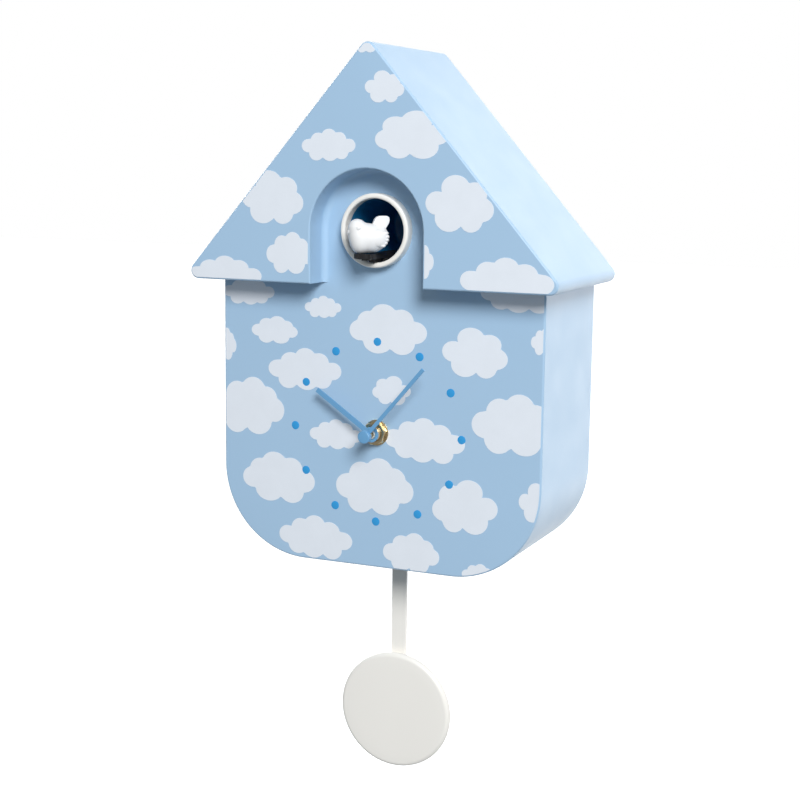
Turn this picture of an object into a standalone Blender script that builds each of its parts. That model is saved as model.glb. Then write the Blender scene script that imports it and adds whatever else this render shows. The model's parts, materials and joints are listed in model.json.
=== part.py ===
"""House-shaped wall clock with a sliding bird, a quartz movement and a pendulum.

Lengths are in millimetres and become metres in the mesh. The origin is the seat of the
hanging keyhole, in the wall plane: +X to the right of the dial, +Z up, and the dial faces -Y.
"""

import math

import bmesh
import bpy
from mathutils import Matrix, Vector

MM = 0.001
GAP = 0.3  # clearance between pieces that touch

# Housing
ROOF_APEX = 60.0
EAVE = -67.0
ROOF_HALF = 110.5
ROOF_DEPTH = 100.0
ROOF_CORNER = 4.5
BODY_HALF = 93.5
BODY_BOTTOM = -221.0
BODY_DEPTH = 83.0
BODY_CORNER = 50.0
WALL = 2.5
COVER = 2.6  # thickness of the rear cover
BOSS_R = 3.6
PILOT_R = 1.6
SCREW_PLACES = ((0, 36), (-84, -57), (84, -57), (-70, -198), (70, -198))
SCREW_R = 1.3
SCREW_HEAD_R = 2.8
SCREW_LENGTH = 14.0
KEYHOLE_R = 4.5
KEYHOLE_DROP = 9.0  # from the screw's seat down to the middle of the round entry
KEYSLOT_HALF = 2.2
SLOT_HALF = 15.0  # the pendulum's slot, along X
SLOT_Y = (-60.0, -46.0)

# Window, niche and bird; from here to the pendulum, y counts from the body's front face
WINDOW_Z = -38.5
NICHE_R = 32.3
RING_R = 19.5
TUNNEL_BORE = 16.75
TUNNEL_R = 18.0
RING_PROUD = 6.8
RING_SPIGOT = 3.5  # how far the ring reaches into the wall
TUNNEL_BACK = 57.0
RAIL_TOP = -53.1
BIRD_Y = -12.0
BIRD_Z = -39.7
BIRD_HEADING = math.radians(50)  # from straight ahead towards the dial's left
ARM_TOP = -50.2
ARM_BOTTOM = -52.8
ARM_HALF = 3.5
ARM_BACK = 23.0
BASE_CENTRE = (-1.6, -13.3)  # the round end of the arm, under the bird's chest
BASE_R = 5.5
RACK_MODULE = 0.8
RACK_HALF = 1.7
PINION_TEETH = 12
PINION_HALF = 1.5
PINION_Y = 18.0
PINION_Z = -59.0

# Movement
DIAL_Z = -146.5
CASE_HALF = 28.0
CASE_FRONT = 4.1
CASE_SPLIT = 12.5
CASE_BACK = 20.1
CASE_WALL = 1.5
MOTION_OFFSET = 12.0
TRAIN_MODULE = 1 / 3
LEAVES = 6  # teeth of each pinion in the train
FASTENER_R = 7.0  # both washers
NUT_R = 6.6  # across the corners, halved
BUSH_R = 3.9
BUSH_HOLE = 4.2
BUSH_BORE = 2.65
HOUR_TUBE_R, HOUR_TUBE_BORE = 2.3, 1.8
MINUTE_R = 1.5
PIVOT_PIN_R = 0.6  # every arbor of the train
MOTION_MODULE = 0.48
CANNON_MODULE = 0.5
MAGNET_R = 2.6
KNOB_R = 7.0
MINUTE_ANGLE = math.radians(40.6)
HOUR_ANGLE = math.radians(304.2)
MINUTE_LENGTH = 50.0
HOUR_LENGTH = 39.0
CAP_R = 3.4

# Pendulum
PIVOT_Z = -160.0
PIVOT_Y = 30.0
PIN_R, PIN_HOLE = 1.2, 1.5
PEG_Z = -184.0
PEG_R, EYE_R = 1.5, 1.9
COIL_Z = -186.0
BOB_Z = -311.5
BOB_R = 33.5
BOB_FRONT, BOB_BACK = 26.7, 31.7
ROD_HALF = 4.5

# Batteries, board and loudspeaker
BATTERY_R = 7.25
BATTERY_LENGTH = 50.5
BATTERY_PITCH = 15.6
TRAY_LEFT, TRAY_RIGHT, TRAY_LOW, TRAY_HIGH = -85.0, -31.0, -186.0, -126.0
TRAY_FRONT = -20.4
TRAY_WALL = 1.2
BATTERY_Y = -11.2
CAP_NUB_R = 2.7
SPRING_R = 3.4
BOARD_X, BOARD_Z = 56.0, -165.0
BOARD_HALF = 24.0
SPEAKER_X, SPEAKER_Z = 57.0, -105.0
SPEAKER_R = 20.0
SOUND_R = 17.0

for old in list(bpy.data.objects):
    bpy.data.objects.remove(old)


def material(name, colour, roughness, metallic=0.0):
    made = bpy.data.materials.new(name)
    made.use_nodes = True
    shader = made.node_tree.nodes["Principled BSDF"]
    shader.inputs["Base Color"].default_value = (*colour, 1)
    shader.inputs["Roughness"].default_value = roughness
    shader.inputs["Metallic"].default_value = metallic
    return made


SKY = material("sky_blue_plastic", (0.36, 0.56, 0.80), 0.42)
PALE = material("pale_blue_plastic", (0.50, 0.70, 0.88), 0.45)
NAVY = material("navy_plastic", (0.01, 0.05, 0.16), 0.4)
CREAM = material("cream_plastic", (0.84, 0.82, 0.77), 0.4)
WHITE = material("white_plastic", (0.9, 0.9, 0.9), 0.4)
BLACK = material("black_plastic", (0.015, 0.015, 0.017), 0.45)
BLUE = material("hand_blue", (0.06, 0.29, 0.55), 0.4)
BRASS = material("brass", (0.78, 0.57, 0.25), 0.3, 1.0)
STEEL = material("steel", (0.56, 0.57, 0.58), 0.35, 1.0)
COPPER = material("copper_wire", (0.66, 0.32, 0.16), 0.4, 1.0)
GEAR = material("gear_acetal", (0.82, 0.84, 0.80), 0.5)
GREEN = material("circuit_board", (0.02, 0.17, 0.07), 0.5)
RUBBER = material("rubber", (0.02, 0.02, 0.02), 0.85)
JACKET = material("battery_jacket", (0.10, 0.12, 0.14), 0.35)
PAPER = material("speaker_paper", (0.04, 0.04, 0.04), 0.9)


def add(name, mesh_maker, surface=None, smooth=False):
    """One object whose mesh is made by mesh_maker(bm), with outward normals."""
    mesh = bpy.data.meshes.new(name)
    bm = bmesh.new()
    mesh_maker(bm)
    bmesh.ops.recalc_face_normals(bm, faces=bm.faces)
    bm.to_mesh(mesh)
    bm.free()
    obj = bpy.data.objects.new(name, mesh)
    bpy.context.collection.objects.link(obj)
    if surface:
        mesh.materials.append(surface)
    if smooth:
        soften(obj)
    return obj


def soften(obj):
    obj.data.shade_smooth()
    obj.data.set_sharp_from_angle(angle=math.radians(35))


def combine(obj, others, operation):
    """Joins or cuts obj with the other solids, which are then removed."""
    surfaces = list(obj.data.materials)
    for other in others:
        boolean = obj.modifiers.new("Boolean", "BOOLEAN")
        boolean.operation = operation
        boolean.solver = "EXACT"
        boolean.object = other
        bpy.context.view_layer.update()
        graph = bpy.context.evaluated_depsgraph_get()
        mesh = bpy.data.meshes.new_from_object(obj.evaluated_get(graph))
        obj.modifiers.clear()
        obj.data = mesh
        bpy.data.objects.remove(other)
    obj.data.name = obj.name
    obj.data.materials.clear()
    for surface in surfaces:
        obj.data.materials.append(surface)
    return obj


def join(obj, *others):
    return combine(obj, others, "UNION")


def cut(obj, *others):
    return combine(obj, others, "DIFFERENCE")


def prism_maker(points, low, high, axis="Y"):
    """Extrudes a closed outline along an axis: (x, z) points for Y, (y, z) for X, (x, y) for Z."""

    def place(u, v, w):
        return {"Y": (u, w, v), "X": (w, u, v), "Z": (u, v, w)}[axis]

    def make(bm):
        rings = [
            [bm.verts.new(Vector(place(u, v, w)) * MM) for u, v in points] for w in (low, high)
        ]
        bm.faces.new(rings[0])
        bm.faces.new(rings[1])
        for i in range(len(points)):
            j = (i + 1) % len(points)
            bm.faces.new((rings[0][i], rings[0][j], rings[1][j], rings[1][i]))

    return make


def prism(name, points, low, high, surface=None, axis="Y", smooth=False):
    return add(name, prism_maker(points, low, high, axis), surface, smooth)


def circle(u, v, radius, sides=32, phase=0.0):
    turn = 2 * math.pi / sides
    return [
        (u + radius * math.cos(phase + turn * i), v + radius * math.sin(phase + turn * i))
        for i in range(sides)
    ]


def rod(name, u, v, radius, low, high, surface=None, sides=24, axis="Y"):
    return prism(name, circle(u, v, radius, sides), low, high, surface, axis, smooth=True)


def block(name, x, y, z, surface=None):
    """A box between the two values given for each axis."""
    corners = [(x[0], z[0]), (x[1], z[0]), (x[1], z[1]), (x[0], z[1])]
    return prism(name, corners, y[0], y[1], surface)


def washer(name, x, z, outer, inner, low, high, surface, sides=32):
    made = rod(name, x, z, outer, low, high, surface, sides)
    cut(made, rod("bore", x, z, inner, low - 1, high + 1, sides=sides))
    soften(made)
    return made


def rounded(corners, steps=6):
    """The outline through (u, v, radius) corners, each turned as an arc."""
    points = []
    for i, (u, v, radius) in enumerate(corners):
        here = Vector((u, v))
        before = (Vector(corners[i - 1][:2]) - here).normalized()
        after = (Vector(corners[(i + 1) % len(corners)][:2]) - here).normalized()
        if radius <= 0:
            points.append((u, v))
            continue
        half = before.angle(after) / 2
        centre = here + (before + after).normalized() * (radius / math.sin(half))
        start = here + before * (radius / math.tan(half)) - centre
        sweep = start.angle_signed(here + after * (radius / math.tan(half)) - centre)
        for step in range(steps + 1):
            arm = start.copy()
            arm.rotate(Matrix.Rotation(-sweep * step / steps, 2))
            points.append(tuple(centre + arm))
    return points


def roof_outline(inset):
    """The gable's triangle, moved in by a wall thickness."""
    slope = math.atan2(ROOF_APEX - EAVE, ROOF_HALF)
    low = EAVE + inset
    apex = ROOF_APEX - inset / math.cos(slope)
    half = (apex - low) / math.tan(slope)
    corner = max(ROOF_CORNER - inset, 0.8)
    return rounded([(-half, low, corner), (half, low, corner), (0, apex, corner)])


def body_outline(inset, top=EAVE + 12):
    half = BODY_HALF - inset
    corner = BODY_CORNER - inset
    low = BODY_BOTTOM + inset
    return rounded([(-half, low, corner), (half, low, corner), (half, top, 0), (-half, top, 0)], 10)


def arch_outline(radius, low):
    top = [p for p in circle(0, WINDOW_Z, radius, 36) if p[1] >= WINDOW_Z - 1e-6]
    return top + [(-radius, low), (radius, low)]


def turned(name, profile, x, z, surface, sides=32):
    """A closed (radius, y) profile turned about the line through x, z along Y."""

    def make(bm):
        rings = []
        for i in range(sides):
            angle = 2 * math.pi * i / sides
            rings.append(
                [
                    bm.verts.new(
                        Vector((x + r * math.cos(angle), y, z + r * math.sin(angle))) * MM
                    )
                    for r, y in profile
                ]
            )
        for i in range(sides):
            first, second = rings[i], rings[(i + 1) % sides]
            for j in range(len(profile)):
                k = (j + 1) % len(profile)
                bm.faces.new((first[j], first[k], second[k], second[j]))
        bmesh.ops.remove_doubles(bm, verts=bm.verts, dist=1e-6)

    return add(name, make, surface, smooth=True)


def gear_outline(teeth, module, u, v, phase):
    """Straight-flanked teeth with backlash; one tooth points along phase."""
    pitch = module * teeth / 2
    root, tip = pitch - 1.05 * module, pitch + 0.75 * module
    turn = 2 * math.pi / teeth
    shape = ((root, -0.27), (tip, -0.10), (tip, 0.10), (root, 0.27))
    points = []
    for tooth in range(teeth):
        for radius, share in shape:
            angle = phase + turn * (tooth + share)
            points.append((u + radius * math.cos(angle), v + radius * math.sin(angle)))
    return points


def mesh_phases(a, b, b_teeth):
    """Phases that put a tooth of gear a in a gap of gear b along the line between centres."""
    line = math.atan2(b[1] - a[1], b[0] - a[0])
    return line, line + math.pi + math.pi / b_teeth


def pivot(name, x, y, z, *pieces):
    """An empty on a joint's axis that carries the pieces which turn or slide with it."""
    empty = bpy.data.objects.new(name, None)
    empty.location = Vector((x, y, z)) * MM
    bpy.context.collection.objects.link(empty)
    for piece in pieces:
        piece.data.transform(Matrix.Translation(-empty.location))
        piece.parent = empty
    return empty


def make_housing():
    roof = prism("front_housing", roof_outline(0), -ROOF_DEPTH, 0, SKY)
    join(roof, prism("body", body_outline(0), -BODY_DEPTH, 0))
    niche = prism("niche", arch_outline(NICHE_R, EAVE - 5), -ROOF_DEPTH - 5, -BODY_DEPTH)
    inside = prism("inside", roof_outline(WALL), -ROOF_DEPTH + WALL, 5)
    niche_wall = prism(
        "niche_wall", arch_outline(NICHE_R + WALL, EAVE - 5), -ROOF_DEPTH - 5, -BODY_DEPTH + WALL
    )
    cut(inside, niche_wall)
    join(inside, prism("inside_body", body_outline(WALL), -BODY_DEPTH + WALL, 4))
    cut(roof, niche, inside)
    for x, z in SCREW_PLACES:
        front = -ROOF_DEPTH if z > EAVE else -BODY_DEPTH
        boss = rod("boss", x, z, BOSS_R, front + WALL - 0.5, -COVER - GAP, sides=16)
        cut(boss, rod("pilot", x, z, PILOT_R, -17, 0, sides=10))
        join(roof, boss)
    cut(
        roof,
        rod("window", 0, WINDOW_Z, TUNNEL_R + GAP, -BODY_DEPTH - 5, -BODY_DEPTH + 6, sides=40),
        rod("spindle", 0, DIAL_Z, BUSH_HOLE, -BODY_DEPTH - 5, -BODY_DEPTH + 6),
        block("slot", (-SLOT_HALF, SLOT_HALF), SLOT_Y, (BODY_BOTTOM - 3, BODY_BOTTOM + 6)),
    )


def make_rear_cover():
    inset = WALL + GAP
    cover = prism("rear_cover", roof_outline(inset), -COVER, 0, PALE)
    join(cover, prism("lower", body_outline(inset), -COVER, 0))
    through = (-COVER - 1, 1)
    for x, z in SCREW_PLACES:
        cut(cover, rod("hole", x, z, PILOT_R, *through, sides=12))
        cut(cover, rod("head", x, z, SCREW_HEAD_R + 0.4, -1.6, 1, sides=20))
    half, low = KEYSLOT_HALF, -KEYHOLE_DROP
    keyslot = rounded([(-half, low, 0), (half, low, 0), (half, 0, half - 0.1), (-half, 0, half - 0.1)])
    cut(
        cover,
        rod("keyhole", 0, low, KEYHOLE_R, *through),
        prism("keyslot", keyslot, *through),
        rod("knob_hole", 0, DIAL_Z + MOTION_OFFSET, KNOB_R + 2, *through),
        block(
            "battery_hole",
            (TRAY_LEFT + 1 - GAP, TRAY_RIGHT - 1 + GAP),
            through,
            (TRAY_LOW + 1 - GAP, TRAY_HIGH - 1 + GAP),
        ),
        block(
            "switch_slot",
            (BOARD_X - 4.5, BOARD_X + 4.5),
            through,
            (BOARD_Z - 1.8, BOARD_Z + 1.8),
        ),
    )
    for row in range(5):
        z = SPEAKER_Z + (row - 2) * 6
        half = math.sqrt(SOUND_R**2 - (z - SPEAKER_Z) ** 2)
        ends = [(-half, -1.2), (half, -1.2), (half, 1.2), (-half, 1.2)]
        slot = rounded([(SPEAKER_X + u, z + v, 1.1) for u, v in ends], 3)
        cut(cover, prism("sound_slot", slot, *through))
    for number, (x, z) in enumerate(SCREW_PLACES, 1):
        screw = rod(f"cover_screw_{number}", x, z, SCREW_HEAD_R, -1.3, -0.2, STEEL, 20)
        join(screw, rod("shank", x, z, SCREW_R, -SCREW_LENGTH, -1.0, sides=12))
        cut(screw, block("slot", (x - 2, x + 2), (-0.7, 1), (z - 0.4, z + 0.4)))


def make_window():
    ring = turned(
        "window_ring",
        [
            (TUNNEL_BORE, -RING_PROUD + 0.8),
            (TUNNEL_BORE + 1.0, -RING_PROUD),
            (RING_R - 1.0, -RING_PROUD),
            (RING_R, -RING_PROUD + 1.0),
            (RING_R, -GAP),
            (TUNNEL_R, -GAP),
            (TUNNEL_R, RING_SPIGOT),
            (TUNNEL_BORE, RING_SPIGOT),
        ],
        0,
        WINDOW_Z,
        CREAM,
        36,
    )
    mouth = RING_SPIGOT + GAP
    tunnel = turned(
        "window_tunnel",
        [
            (TUNNEL_BORE, mouth),
            (TUNNEL_R, mouth),
            (TUNNEL_R, TUNNEL_BACK + 1.5),
            (0, TUNNEL_BACK + 1.5),
            (0, TUNNEL_BACK),
            (TUNNEL_BORE, TUNNEL_BACK),
        ],
        0,
        WINDOW_Z,
        NAVY,
        32,
    )
    for side in (-1, 1):
        rail_x = sorted((side * 2.3, side * 5.0))
        rail_z = (WINDOW_Z - TUNNEL_BORE - 0.35, RAIL_TOP)
        join(tunnel, block("rail", rail_x, (mouth + 0.5, TUNNEL_BACK + 0.5), rail_z))
    reach = RACK_MODULE * (PINION_TEETH / 2 + 1) + 1
    slot_y = (PINION_Y - reach, PINION_Y + reach)
    cut(tunnel, block("pinion_slot", (-2.1, 2.1), slot_y, (PINION_Z - 2, ARM_BOTTOM)))


def ellipsoid(name, centre, radii, turn=0.0, surface=None, rings=9, sides=14):
    def make(bm):
        bmesh.ops.create_uvsphere(bm, u_segments=sides, v_segments=rings, radius=1)
        size = Matrix.Diagonal((*(Vector(radii) * MM), 1))
        place = Matrix.Translation(Vector(centre) * MM) @ Matrix.Rotation(turn, 4, "Z")
        bmesh.ops.transform(bm, matrix=place @ size, verts=bm.verts)

    return add(name, make, surface, smooth=True)


def make_bird_figure():
    """A plump bird in profile, its X axis before turning being its heading."""
    turn = -math.pi / 2 - BIRD_HEADING
    along = Vector((math.cos(turn), math.sin(turn), 0))

    def volume(name, forward, up, radii, rings=8, sides=12):
        centre = Vector((0, BIRD_Y, BIRD_Z + up)) + along * forward
        return ellipsoid(name, centre, radii, turn, WHITE, rings, sides)

    bird = volume("bird", 0.6, -2.2, (9.6, 7.4, 8.2), 9, 16)
    join(
        bird,
        volume("head", 6.0, 2.6, (5.2, 5.3, 5.0)),
        volume("beak", 10.4, 1.0, (1.6, 1.2, 1.8), 6, 8),
        volume("tail", -7.6, 4.8, (3.2, 1.7, 4.5)),
    )
    low = (WINDOW_Z - 30, ARM_TOP + GAP)
    foot_y = (BIRD_Y - 2.4, BIRD_Y + 2.4)
    join(bird, block("foot", (-2.4, 2.4), foot_y, (ARM_TOP, WINDOW_Z - 6)))
    cut(bird, block("floor", (-40, 40), (BIRD_Y - 40, BIRD_Y + 40), low))
    soften(bird)
    return bird


def make_carriage():
    """The black arm that carries the bird, with its rack, and the pinion that drives it."""
    arm_y = (BIRD_Y - 6, ARM_BACK)
    arm = block("bird_carriage", (-ARM_HALF, ARM_HALF), arm_y, (ARM_BOTTOM, ARM_TOP), BLACK)
    join(arm, rod("base", *BASE_CENTRE, BASE_R, ARM_BOTTOM, ARM_TOP, axis="Z"))
    pitch = math.pi * RACK_MODULE
    pitch_line = PINION_Z + RACK_MODULE * PINION_TEETH / 2
    tip, root = pitch_line - 0.75 * RACK_MODULE, pitch_line + 0.95 * RACK_MODULE
    front, back, top = BIRD_Y - 5.5, ARM_BACK - 0.5, ARM_BOTTOM + 0.4
    teeth = [(back, top), (front, top), (front, root)]
    count = int((PINION_Y - BIRD_Y - 5) / pitch)
    places = [PINION_Y - pitch * (n + 0.5) for n in range(-1, count + 2)]
    for y in sorted(places):
        for share, level in ((-0.31, root), (-0.11, tip), (0.11, tip), (0.31, root)):
            teeth.append((y + share * pitch, level))
    teeth.append((back, root))
    join(arm, prism("rack", teeth, -RACK_HALF, RACK_HALF, axis="X"))

    shape = gear_outline(PINION_TEETH, RACK_MODULE, PINION_Y, PINION_Z, math.pi / 2)
    pinion = prism("bird_drive_pinion", shape, -PINION_HALF, PINION_HALF, GEAR, "X")
    join(pinion, rod("axle", PINION_Y, PINION_Z, 1.2, -1.0, 8, sides=12, axis="X"))
    gearbox_y = (PINION_Y - 7.5, PINION_Y + 6.5)
    gearbox = block("bird_gearbox", (4.8, 16), gearbox_y, (PINION_Z - 8.5, PINION_Z + 0.8), BLACK)
    cut(gearbox, rod("bearing", PINION_Y, PINION_Z, 1.6, 4, 9, sides=12, axis="X"))
    rod("bird_motor", PINION_Y - 0.5, PINION_Z - 4, 5, 16.3, 34, STEEL, 24, "X")
    return arm, pinion


def make_bird():
    bird = make_bird_figure()
    arm, pinion = make_carriage()
    pivot("bird_slide_axis", 0, BIRD_Y, ARM_TOP, bird, arm)
    pivot("bird_pinion_axis", 0, PINION_Y, PINION_Z, pinion)


def square(half, corner):
    return rounded(
        [
            (-half, DIAL_Z - half, corner),
            (half, DIAL_Z - half, corner),
            (half, DIAL_Z + half, corner),
            (-half, DIAL_Z + half, corner),
        ],
        4,
    )


def wheel(name, centre, levels, arbor, surface=GEAR):
    """Gears stacked on an arbor: levels are (teeth, module, phase, y low, y high)."""
    made = rod(name, *centre, arbor[0], arbor[1], arbor[2], surface, 12)
    for teeth, module, phase, low, high in levels:
        outline = gear_outline(teeth, module, *centre, phase)
        join(made, prism("gear", outline, low, high))
    return made


def hand(name, angle, length, half, bore, low, high):
    """A flat bar hand with square ends, a round hub and a bore, turned clockwise from 12."""
    across = Vector((math.cos(angle), -math.sin(angle)))
    up = Vector((math.sin(angle), math.cos(angle)))
    centre = Vector((0, DIAL_Z))
    corners = ((-half, 0), (half, 0), (half, length), (-half, length))
    outline = [tuple(centre + across * u + up * v) for u, v in corners]
    made = prism(name, outline, low, high, BLUE)
    join(made, rod("hub", 0, DIAL_Z, bore + 1.6, low, high))
    cut(made, rod("bore", 0, DIAL_Z, bore, low - 1, high + 1))
    return made


def polar(start, distance, degrees):
    angle = math.radians(degrees)
    return start[0] + distance * math.cos(angle), start[1] + distance * math.sin(angle)


def make_movement_case():
    front = prism("movement_case_front", square(CASE_HALF, 4), CASE_FRONT, CASE_SPLIT, BLACK)
    hollow = square(CASE_HALF - CASE_WALL, 3)
    cut(
        front,
        prism("hollow", hollow, CASE_FRONT + CASE_WALL, CASE_BACK),
        rod("bush_hole", 0, DIAL_Z, BUSH_HOLE, CASE_FRONT - 2, CASE_FRONT + 3),
    )
    rear = prism("movement_case_rear", square(CASE_HALF, 4), CASE_SPLIT + GAP, CASE_BACK, BLACK)
    knob_z = DIAL_Z + MOTION_OFFSET
    cut(
        rear,
        prism("hollow", hollow, CASE_FRONT, CASE_BACK - CASE_WALL),
        rod("arbor_hole", 0, knob_z, 1.9, CASE_BACK - 3, CASE_BACK + 3, sides=16),
    )


def make_fasteners():
    """The bush and what clamps it to the dial."""
    washer("rubber_washer", 0, DIAL_Z, FASTENER_R, BUSH_HOLE, 2.8, 3.8, RUBBER)
    washer("brass_washer", 0, DIAL_Z, FASTENER_R, BUSH_HOLE, -1.2, -0.3, BRASS, 40)
    nut_shape = circle(0, DIAL_Z, NUT_R, 6, math.radians(12))
    nut = prism("hex_nut", nut_shape, -4.4, -1.5, BRASS)
    cut(nut, rod("bore", 0, DIAL_Z, BUSH_HOLE, -7, 3, sides=32))
    bush = rod("threaded_bush", 0, DIAL_Z, BUSH_R, -6.2, CASE_FRONT + CASE_WALL, BRASS)
    cut(bush, rod("bore", 0, DIAL_Z, BUSH_BORE, -12, 13, sides=24))


def make_train():
    """The motion work and the wheels from the rotor up, each on its own arbor."""
    centre = (0.0, DIAL_Z)
    motion = (0.0, DIAL_Z + MOTION_OFFSET)
    third = polar(centre, 9.05, 215)
    fourth = polar(third, 8.55, 290)
    fifth = polar(fourth, 6.05, 350)
    rotor = polar(fifth, 7.05, 20)

    hour_phase, motion_small = mesh_phases(centre, motion, 10)
    cannon_phase, motion_large = mesh_phases(centre, motion, 36)
    great_phase, third_small = mesh_phases(centre, third, LEAVES)
    third_large, fourth_small = mesh_phases(third, fourth, LEAVES)
    fourth_large, fifth_small = mesh_phases(fourth, fifth, LEAVES)
    fifth_large, rotor_small = mesh_phases(fifth, rotor, LEAVES)

    hour_gear = [(40, MOTION_MODULE, hour_phase, 6.1, 7.1)]
    hour_wheel = wheel("hour_wheel", centre, hour_gear, (HOUR_TUBE_R, -8.3, 7.5))
    cut(hour_wheel, rod("bore", 0, DIAL_Z, HOUR_TUBE_BORE, -17, 13, sides=16))
    minute_gears = [
        (12, CANNON_MODULE, cannon_phase, 7.9, 9.5),
        (48, TRAIN_MODULE, great_phase, 10.3, 11.1),
    ]
    minute_arbor = wheel("minute_arbor", centre, minute_gears, (MINUTE_R, -15.2, 11.2), BRASS)
    join(minute_arbor, rod("rear_pivot", 0, DIAL_Z, PIVOT_PIN_R, 11, 17, sides=10))
    motion_gears = [
        (10, MOTION_MODULE, motion_small, 6, 8.5),
        (36, CANNON_MODULE, motion_large, 8.2, 9.2),
    ]
    motion_wheel = wheel("motion_wheel", motion, motion_gears, (1.5, 8, 19))
    third_gear = [(LEAVES, TRAIN_MODULE, third_small, 10.1, 11.25)]
    third_pinion = wheel("third_pinion", third, third_gear, (0.5, 7.7, 11.2), STEEL)
    third_gear = [(45, TRAIN_MODULE, third_large, 11.6, 12.4)]
    third_wheel = wheel("third_wheel", third, third_gear, (PIVOT_PIN_R, 11.5, 17))
    fourth_gears = [
        (LEAVES, TRAIN_MODULE, fourth_small, 11.4, 13),
        (30, TRAIN_MODULE, fourth_large, 12.9, 13.7),
    ]
    fourth_wheel = wheel("fourth_wheel", fourth, fourth_gears, (PIVOT_PIN_R, 7, 13.8))
    fifth_gears = [
        (LEAVES, TRAIN_MODULE, fifth_small, 12.7, 14.3),
        (36, TRAIN_MODULE, fifth_large, 14.2, 15),
    ]
    fifth_wheel = wheel("fifth_wheel", fifth, fifth_gears, (PIVOT_PIN_R, 7, 17))
    rotor_gear = [(LEAVES, TRAIN_MODULE, rotor_small, 14, 15.4)]
    spinner = wheel("stepper_rotor", rotor, rotor_gear, (PIVOT_PIN_R, 7, 17), STEEL)
    join(spinner, rod("magnet", *rotor, MAGNET_R, 8.5, 11.5, sides=20))

    for label, place, piece in (
        ("third_pinion_axis", third, third_pinion),
        ("third_axis", third, third_wheel),
        ("fourth_axis", fourth, fourth_wheel),
        ("fifth_axis", fifth, fifth_wheel),
        ("rotor_axis", rotor, spinner),
    ):
        pivot(label, place[0], CASE_SPLIT, place[1], piece)
    pivot("hour_axis", 0, CASE_SPLIT, DIAL_Z, hour_wheel, make_hour_hand())
    pivot("minute_axis", 0, CASE_SPLIT, DIAL_Z, minute_arbor, *make_minute_hand())
    pivot("motion_axis", motion[0], CASE_SPLIT, motion[1], motion_wheel, make_knob(motion))
    return rotor


def make_hour_hand():
    return hand("hour_hand", HOUR_ANGLE, HOUR_LENGTH, 1.35, 2.6, -8, -7.2)


def make_minute_hand():
    minute_hand = hand("minute_hand", MINUTE_ANGLE, MINUTE_LENGTH, 1.0, HOUR_TUBE_BORE, -15, -14.2)
    profile = [(0, -17.5), (CAP_R - 0.8, -17.5), (CAP_R, -16.7), (CAP_R, -15.5), (0, -15.5)]
    return minute_hand, turned("hand_cap", profile, 0, DIAL_Z, BLUE, 28)


def make_knob(motion):
    """The knob on the motion wheel, reached through the rear cover."""
    knob = rod("setting_knob", *motion, KNOB_R, BODY_DEPTH - 8, BODY_DEPTH - 1.5, BLACK, 28)
    join(knob, rod("shaft", *motion, 1.5, CASE_BACK - 0.8, BODY_DEPTH - 7.5, sides=12))
    grip_z = (motion[1] - 0.9, motion[1] + 0.9)
    cut(knob, block("grip", (-6, 6), (BODY_DEPTH - 3, BODY_DEPTH), grip_z))
    return knob


def make_stepper(rotor):
    """The stator round the rotor's magnet, its coil, and the board that drives it."""
    stator_z = (DIAL_Z - CASE_HALF + 3.5, rotor[1] + 3.9)
    stator_x = (rotor[0] - 4.6, rotor[0] + 4.6)
    stator = block("stepper_stator", stator_x, (9.4, 10.6), stator_z, STEEL)
    cut(stator, rod("rotor_hole", *rotor, MAGNET_R + 0.5, 3, 18, sides=20))
    coil_z = (stator_z[0] + 1.5, stator_z[0] + 8.5)
    coil_x = (rotor[0] - 5.8, rotor[0] + 5.8)
    coil = block("stepper_coil", coil_x, (6.6, 13.4), coil_z, COPPER)
    core_z = (coil_z[0] - 5, coil_z[1] + 5)
    cut(coil, block("core", (stator_x[0] - GAP, stator_x[1] + GAP), (9.1, 10.9), core_z))
    block("movement_board", (-24, -13), (13, 14.2), (DIAL_Z - 4, DIAL_Z + 24), GREEN)
    rod("quartz_crystal", -18.5, 11, 1.5, DIAL_Z + 6, DIAL_Z + 14, STEEL, 16, "Z")


def make_movement():
    make_movement_case()
    make_fasteners()
    make_stepper(make_train())


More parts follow.
